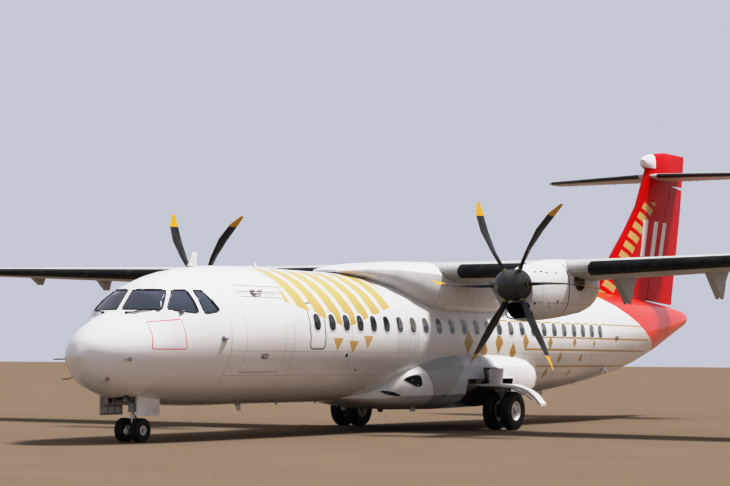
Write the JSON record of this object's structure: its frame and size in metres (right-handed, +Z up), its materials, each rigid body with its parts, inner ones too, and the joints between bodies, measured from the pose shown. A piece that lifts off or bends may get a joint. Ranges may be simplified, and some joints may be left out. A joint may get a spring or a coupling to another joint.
{
  "type": "turboprop airliner",
  "caption": "High-wing twin turboprop airliner with a T-tail, feathered propellers, opening doors, flaps and control surfaces, parked on its landing gear.",
  "frame": {"origin": "on the ground below the middle of the aircraft's overall box", "axes": "+Z up, -Y towards the nose, +X to the port side"},
  "size_m": [27.05, 27.166, 7.55],
  "materials": {
    "white_paint": "gloss white paint",
    "white_composite": "gloss white paint on composite",
    "red_paint": "gloss red paint",
    "red_composite": "gloss red paint on composite",
    "grey_composite": "satin light grey paint on composite",
    "wing_paint": "satin light grey paint",
    "boot_rubber": "matt black rubber",
    "cockpit_glass": "dark tinted, polished",
    "spinner_grey": "satin charcoal paint",
    "blade_black": "satin black paint",
    "gear_paint": "satin grey paint",
    "tyre_rubber": "matt black rubber",
    "wheel_alloy": "cast, satin",
    "engine_metal": "plain block"
  },
  "bodies": {
    "airframe": {"radome": "white_composite", "cockpit_section": "white_paint", "forward_fuselage": "white_paint", "centre_fuselage": "white_paint", "rear_fuselage": "white_paint", "tail_cone": "red_paint", "cockpit_glazing": "cockpit_glass", "wing_fairing": "white_composite", "gear_fairing": "white_composite", "wing_centre": "wing_paint", "fin": "red_composite", "tailplane": "grey_composite", "nose_strut": "gear_paint", "wing_outer_port": "wing_paint", "boot_inner_port": "boot_rubber", "boot_outer_port": "boot_rubber", "nacelle_port": "white_composite", "engine_port": "engine_metal", "main_leg_port": "gear_paint", "main_gear_door_port": "white_composite", "nose_gear_door_port": "white_composite", "wing_outer_starboard": "wing_paint", "boot_inner_starboard": "boot_rubber", "boot_outer_starboard": "boot_rubber", "nacelle_starboard": "white_composite", "engine_starboard": "engine_metal", "main_leg_starboard": "gear_paint", "main_gear_door_starboard": "white_composite", "nose_gear_door_starboard": "white_composite"},
    "cargo_door": {"cargo_door": "white_paint"},
    "passenger_door": {"passenger_door": "white_paint"},
    "rudder": {"rudder": "red_composite"},
    "nose_steering": {"nose_fork": "gear_paint"},
    "nose_wheels": {"nose_wheel_port_tyre": "tyre_rubber", "nose_wheel_port_rim": "wheel_alloy", "nose_wheel_starboard_tyre": "tyre_rubber", "nose_wheel_starboard_rim": "wheel_alloy"},
    "propeller_port": {"propeller_port": "blade_black", "spinner_port": "spinner_grey"},
    "main_wheels_port": {"main_wheel_port_outer_tyre": "tyre_rubber", "main_wheel_port_outer_rim": "wheel_alloy", "main_wheel_port_inner_tyre": "tyre_rubber", "main_wheel_port_inner_rim": "wheel_alloy"},
    "flap_inner_port": {"flap_inner_port": "grey_composite"},
    "flap_outer_port": {"flap_outer_port": "grey_composite"},
    "aileron_port": {"aileron_port": "grey_composite"},
    "elevator_port": {"elevator_port": "grey_composite"},
    "propeller_starboard": {"propeller_starboard": "blade_black", "spinner_starboard": "spinner_grey"},
    "main_wheels_starboard": {"main_wheel_starboard_outer_tyre": "tyre_rubber", "main_wheel_starboard_outer_rim": "wheel_alloy", "main_wheel_starboard_inner_tyre": "tyre_rubber", "main_wheel_starboard_inner_rim": "wheel_alloy"},
    "flap_inner_starboard": {"flap_inner_starboard": "grey_composite"},
    "flap_outer_starboard": {"flap_outer_starboard": "grey_composite"},
    "aileron_starboard": {"aileron_starboard": "grey_composite"},
    "elevator_starboard": {"elevator_starboard": "grey_composite"}
  },
  "joints": [
    {"name": "nose_steering", "type": "hinge", "parent": "airframe", "child": "nose_steering", "pos_m": [0, -11.97, 0.6], "axis": [0, 0, 1], "range_deg": [-60, 60]},
    {"name": "nose_wheels_spin", "type": "hinge", "parent": "nose_steering", "child": "nose_wheels", "pos_m": [0, -11.97, 0.225], "axis": [1, 0, 0], "continuous": true},
    {"name": "rudder_turn", "type": "hinge", "parent": "airframe", "child": "rudder", "pos_m": [0, 10.587, 3.33], "axis": [0, 0.4981, 0.8671], "range_deg": [-27, 27]},
    {"name": "cargo_door_lift", "type": "hinge", "parent": "airframe", "child": "cargo_door", "pos_m": [1.16492, -9.618, 2.848], "axis": [0, -1, 0], "range_deg": [0, 100]},
    {"name": "passenger_door_drop", "type": "hinge", "parent": "airframe", "child": "passenger_door", "pos_m": [0.93216, 6.362, 1.322], "axis": [0, 1, 0], "range_deg": [0, 110]},
    {"name": "propeller_port_spin", "type": "hinge", "parent": "airframe", "child": "propeller_port", "pos_m": [4.05, -4.45, 3.135], "axis": [0, -1, 0], "continuous": true},
    {"name": "main_wheels_port_spin", "type": "hinge", "parent": "airframe", "child": "main_wheels_port", "pos_m": [2.05, -1.2, 0.432], "axis": [1, 0, 0], "continuous": true},
    {"name": "elevator_port_turn", "type": "hinge", "parent": "airframe", "child": "elevator_port", "pos_m": [0.3, 12.377, 6.805], "axis": [1, 0, 0], "range_deg": [-13, 23]},
    {"name": "aileron_port_turn", "type": "hinge", "parent": "airframe", "child": "aileron_port", "pos_m": [9.236, -1.18153, 3.6528], "axis": [0.9987, -0.0399, 0.032], "range_deg": [-14, 14]},
    {"name": "flap_inner_port_lower", "type": "hinge", "parent": "airframe", "child": "flap_inner_port", "pos_m": [2.06, -1.2346, 2.86341], "axis": [-1, 0, 0], "range_deg": [0, 35]},
    {"name": "flap_outer_port_lower", "type": "hinge", "parent": "airframe", "child": "flap_outer_port", "pos_m": [5.13, -1.2527, 2.88365], "axis": [-0.9984, 0.0376, -0.0416], "range_deg": [0, 35]},
    {"name": "propeller_starboard_spin", "type": "hinge", "parent": "airframe", "child": "propeller_starboard", "pos_m": [-4.05, -4.45, 3.135], "axis": [0, -1, 0], "continuous": true},
    {"name": "main_wheels_starboard_spin", "type": "hinge", "parent": "airframe", "child": "main_wheels_starboard", "pos_m": [-2.05, -1.2, 0.432], "axis": [1, 0, 0], "continuous": true},
    {"name": "elevator_starboard_turn", "type": "hinge", "parent": "airframe", "child": "elevator_starboard", "pos_m": [-0.3, 12.377, 6.805], "axis": [1, 0, 0], "range_deg": [-13, 23]},
    {"name": "aileron_starboard_turn", "type": "hinge", "parent": "airframe", "child": "aileron_starboard", "pos_m": [-9.236, -1.18153, 3.6528], "axis": [0.9987, 0.0399, -0.032], "range_deg": [-14, 14]},
    {"name": "flap_inner_starboard_lower", "type": "hinge", "parent": "airframe", "child": "flap_inner_starboard", "pos_m": [-2.06, -1.2346, 2.86341], "axis": [-1, 0, 0], "range_deg": [0, 35]},
    {"name": "flap_outer_starboard_lower", "type": "hinge", "parent": "airframe", "child": "flap_outer_starboard", "pos_m": [-5.13, -1.2527, 2.88365], "axis": [-0.9984, -0.0376, 0.0416], "range_deg": [0, 35]}
  ],
  "couplings": [
    {"joint": "elevator_starboard_turn", "follows": "elevator_port_turn", "ratio": 1},
    {"joint": "aileron_starboard_turn", "follows": "aileron_port_turn", "ratio": -1},
    {"joint": "flap_inner_starboard_lower", "follows": "flap_inner_port_lower", "ratio": 1},
    {"joint": "flap_outer_port_lower", "follows": "flap_inner_port_lower", "ratio": 1},
    {"joint": "flap_outer_starboard_lower", "follows": "flap_inner_port_lower", "ratio": 1}
  ]
}
